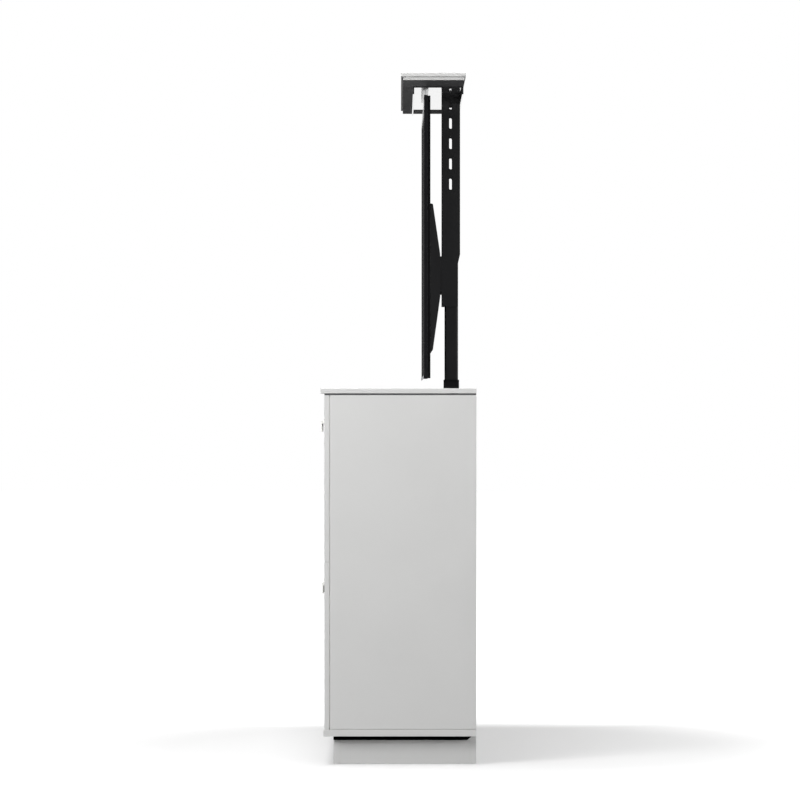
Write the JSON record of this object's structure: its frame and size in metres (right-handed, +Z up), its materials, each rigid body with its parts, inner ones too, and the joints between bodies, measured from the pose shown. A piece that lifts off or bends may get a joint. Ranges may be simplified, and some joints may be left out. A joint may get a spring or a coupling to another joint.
{
  "type": "tv lift cabinet",
  "caption": "White media cabinet with a telescoping lift that raises a flat television through its top, drop-down flaps above side-hung doors, and a lid carried on the lift.",
  "frame": {"origin": "middle of the footprint, on the floor, with the lift raised", "axes": "+Z up, the doors and flaps face -Y, and +X points to the side that the picture shows"},
  "size_m": [1.5, 0.3836, 1.7042],
  "materials": {
    "white_lacquer": "satin white lacquer on fibreboard",
    "white_melamine": "matt white melamine on chipboard",
    "black_steel": "semi-matt black powder coat on steel",
    "black_plastic": "fine-grained matt black moulding",
    "nylon": "matt black glide nylon",
    "brushed_metal": "fine lengthwise brushing",
    "bright_steel": "bright rolled thread",
    "bronze": "machined bearing bronze",
    "screen": "dark glossy display panel",
    "silver_trim": "satin silver trim"
  },
  "bodies": {
    "cabinet": {"side_panel_left": "white_lacquer", "side_panel_right": "white_lacquer", "bottom_board": "white_lacquer", "top_board": "white_lacquer", "top_spacer": "black_plastic", "back_panel": "white_melamine", "well_partition": "white_melamine", "divider_left": "white_melamine", "divider_right": "white_melamine", "middle_shelf": "white_melamine", "plinth_front": "white_lacquer", "plinth_back": "white_lacquer", "plinth_left": "white_lacquer", "plinth_right": "white_lacquer", "lift_base_plate": "black_steel", "lift_outer_tube": "black_steel", "lift_outer_collar": "nylon", "column_wall_bracket": "black_steel", "drive_gearbox": "black_plastic", "drive_motor": "black_steel", "control_box": "black_plastic"},
    "screw": {"lift_screw": "bright_steel"},
    "stage": {"lift_nut": "bronze", "lift_middle_tube": "black_steel", "lift_middle_collar": "nylon"},
    "carriage": {"lift_inner_tube": "black_steel", "lift_carriage": "black_steel", "carriage_head_bracket": "black_steel", "carriage_clamp_block": "black_steel", "carriage_bracket_plate": "black_steel", "tv_hook_plate": "black_steel", "tv_bezel": "black_plastic", "tv_screen": "screen", "tv_bottom_strip": "silver_trim", "tv_back_shell": "black_plastic", "tv_rear_cover": "black_plastic", "lid_lip_board": "white_lacquer", "lid_plug_board": "white_lacquer", "lid_channel": "black_steel"},
    "door_left_leaf": {"door_left": "white_lacquer", "door_left_handle": "brushed_metal"},
    "door_center_leaf": {"door_center": "white_lacquer", "door_center_handle": "brushed_metal"},
    "door_right_leaf": {"door_right": "white_lacquer", "door_right_handle": "brushed_metal"},
    "flap_left_leaf": {"flap_left": "white_lacquer", "flap_left_handle": "brushed_metal"},
    "flap_center_leaf": {"flap_center": "white_lacquer", "flap_center_handle": "brushed_metal"},
    "flap_right_leaf": {"flap_right": "white_lacquer", "flap_right_handle": "brushed_metal"}
  },
  "joints": [
    {"name": "stage_slide", "type": "slide", "parent": "cabinet", "child": "stage", "axis": [0, 0, 1], "range_m": [-0.3866, 0]},
    {"name": "carriage_slide", "type": "slide", "parent": "stage", "child": "carriage", "axis": [0, 0, 1], "range_m": [-0.3866, 0]},
    {"name": "screw_turn", "type": "hinge", "parent": "cabinet", "child": "screw", "pos_m": [0, 0.1395, 0.1], "axis": [0, 0, 1], "range_deg": [-6960, 0]},
    {"name": "door_left_turn", "type": "hinge", "parent": "cabinet", "child": "door_left_leaf", "pos_m": [-0.7465, -0.18055, 0.29], "axis": [0, 0, -1], "range_deg": [0, 95]},
    {"name": "door_center_turn", "type": "hinge", "parent": "cabinet", "child": "door_center_leaf", "pos_m": [-0.24583, -0.18055, 0.29], "axis": [0, 0, -1], "range_deg": [0, 95]},
    {"name": "door_right_turn", "type": "hinge", "parent": "cabinet", "child": "door_right_leaf", "pos_m": [0.7465, -0.18055, 0.29], "axis": [0, 0, 1], "range_deg": [0, 95]},
    {"name": "flap_left_turn", "type": "hinge", "parent": "cabinet", "child": "flap_left_leaf", "pos_m": [-0.50067, -0.18055, 0.5011], "axis": [1, 0, 0], "range_deg": [0, 90]},
    {"name": "flap_center_turn", "type": "hinge", "parent": "cabinet", "child": "flap_center_leaf", "pos_m": [0, -0.18055, 0.5011], "axis": [1, 0, 0], "range_deg": [0, 90]},
    {"name": "flap_right_turn", "type": "hinge", "parent": "cabinet", "child": "flap_right_leaf", "pos_m": [0.50067, -0.18055, 0.5011], "axis": [1, 0, 0], "range_deg": [0, 90]}
  ],
  "couplings": [
    {"joint": "carriage_slide", "follows": "stage_slide", "ratio": 1},
    {"joint": "screw_turn", "follows": "stage_slide", "rad_per_m": 314.16}
  ]
}
